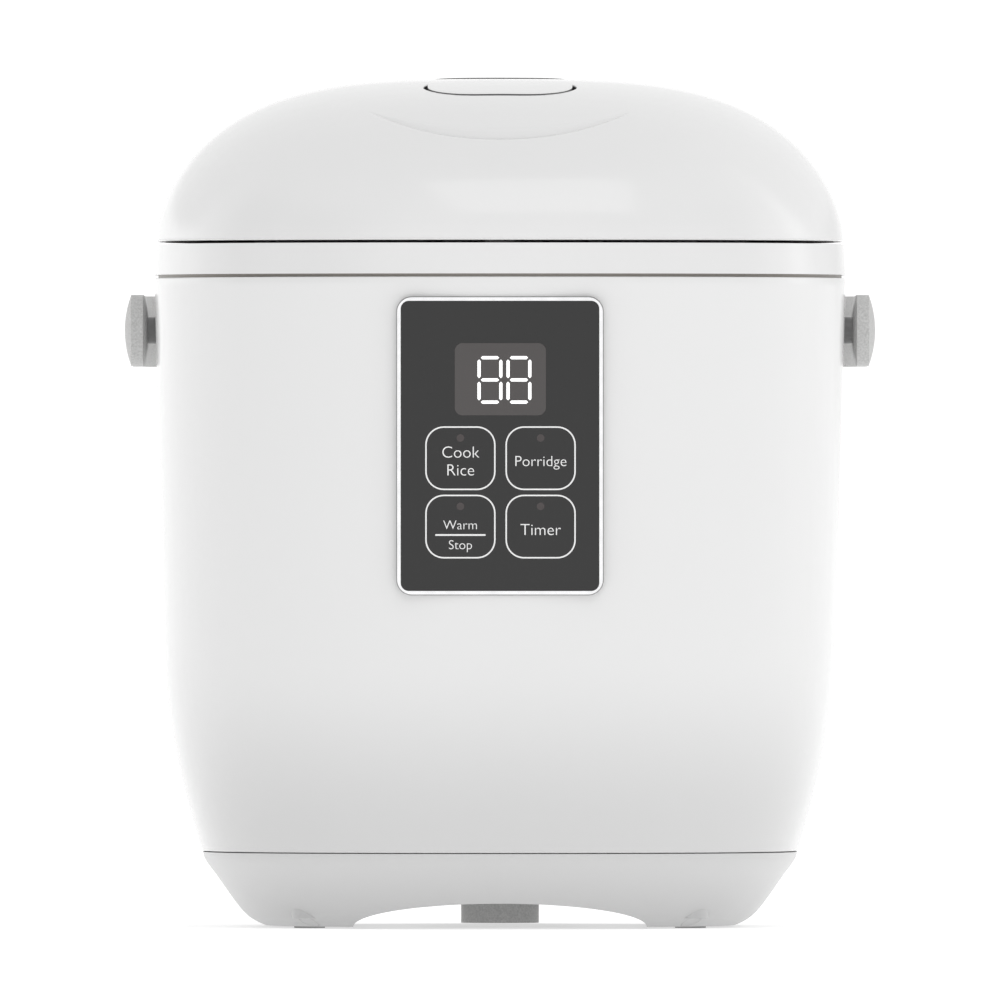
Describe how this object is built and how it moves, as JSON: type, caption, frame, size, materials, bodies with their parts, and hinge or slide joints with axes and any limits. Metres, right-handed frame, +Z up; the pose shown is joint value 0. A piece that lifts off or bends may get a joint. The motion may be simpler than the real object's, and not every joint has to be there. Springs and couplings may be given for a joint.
{
  "type": "rice cooker",
  "caption": "Compact domed rice cooker with a hinged lid, release button, lift-out steam vent, folding carrying handle, touch control panel, inner pot and rear power inlet.",
  "frame": {"origin": "centre of the footprint on the plane the feet stand on", "axes": "+Z up, -Y out of the control panel at the front, +X to the right seen from the front"},
  "size_m": [0.2212, 0.2456, 0.25],
  "materials": {
    "white_gloss": "high gloss white",
    "grey_soft": "fine moulded texture",
    "dark_plastic": "plain moulded",
    "inner_plastic": "plain moulded",
    "smoked_panel": "smoked glossy sheet",
    "display_face": "tinted window",
    "lit_white": "lit digits",
    "chrome_ring": "bright plated",
    "trim_metal": "warm grey metallic",
    "pcb": "board",
    "component": "plain",
    "aluminium": "cast or pressed",
    "sheet_steel": "zinc plated sheet",
    "steel": "bright steel",
    "brass": "contact metal",
    "pot_coating": "non-stick coated",
    "silicone": "soft silicone",
    "rubber": "soft rubber"
  },
  "bodies": {
    "cooker": {"body_shell": "white_gloss", "upper_rim": "white_gloss", "trim_ring": "trim_metal", "base_housing": "white_gloss", "feet": "rubber", "base_screws": "steel", "power_inlet": "grey_soft", "inlet_contacts": "brass", "power_board": "pcb", "power_parts": "component", "inner_casing": "sheet_steel", "heating_plate": "aluminium", "heating_element": "sheet_steel", "plate_screws": "steel", "warming_band": "sheet_steel", "inner_pot": "pot_coating", "sensor_spring": "steel", "sensor_bracket": "sheet_steel", "thermal_fuse": "component", "control_bezel": "chrome_ring", "control_panel": "smoked_panel", "display_window": "display_face", "display_digits": "lit_white", "display_module": "component", "control_board": "pcb", "indicator_lamps": "lit_white", "touch_contacts": "rubber", "hinge_bracket": "sheet_steel", "hinge_pin": "steel", "hinge_spring": "steel", "latch_keeper": "steel", "handle_pivots": "dark_plastic"},
    "lid": {"lid_cover": "white_gloss", "lid_liner": "inner_plastic", "lid_screws": "steel", "inner_lid": "aluminium", "inner_lid_knob": "silicone", "lid_gasket": "silicone", "steam_valve_body": "inner_plastic", "valve_gasket": "silicone", "lid_sensor": "component", "latch_pin": "steel", "latch_spring": "steel", "button_spring": "steel"},
    "button": {"release_button": "white_gloss"},
    "hook": {"latch_hook": "inner_plastic"},
    "vent_cap": {"steam_vent_cap": "white_gloss"},
    "handle": {"carry_handle": "grey_soft"},
    "sensor": {"temp_sensor": "aluminium"}
  },
  "joints": [
    {"name": "lid_hinge", "type": "hinge", "parent": "cooker", "child": "lid", "pos_m": [0, 0.1035, 0.203], "axis": [-1, 0, 0], "range_deg": [0, 80]},
    {"name": "button_press", "type": "slide", "parent": "lid", "child": "button", "axis": [0, 0, -1], "range_m": [0, 0.003], "stiffness_N_per_m": 600, "springref_m": -0.001, "deforming": ["button_spring"]},
    {"name": "latch_pivot", "type": "hinge", "parent": "lid", "child": "hook", "pos_m": [0, -0.0927, 0.212], "axis": [-1, 0, 0], "range_deg": [0, 6]},
    {"name": "vent_lift", "type": "slide", "parent": "lid", "child": "vent_cap", "axis": [0, 0, 1], "range_m": [0, 0.025]},
    {"name": "handle_swing", "type": "hinge", "parent": "cooker", "child": "handle", "pos_m": [0, 0.017, 0.1755], "axis": [1, 0, 0], "range_deg": [0, 90]},
    {"name": "sensor_press", "type": "slide", "parent": "cooker", "child": "sensor", "axis": [0, 0, 1], "range_m": [-0.002, 0], "stiffness_N_per_m": 800, "springref_m": 0.002, "deforming": ["sensor_spring"]}
  ],
  "couplings": [
    {"joint": "latch_pivot", "follows": "button_press", "rad_per_m": 28}
  ]
}
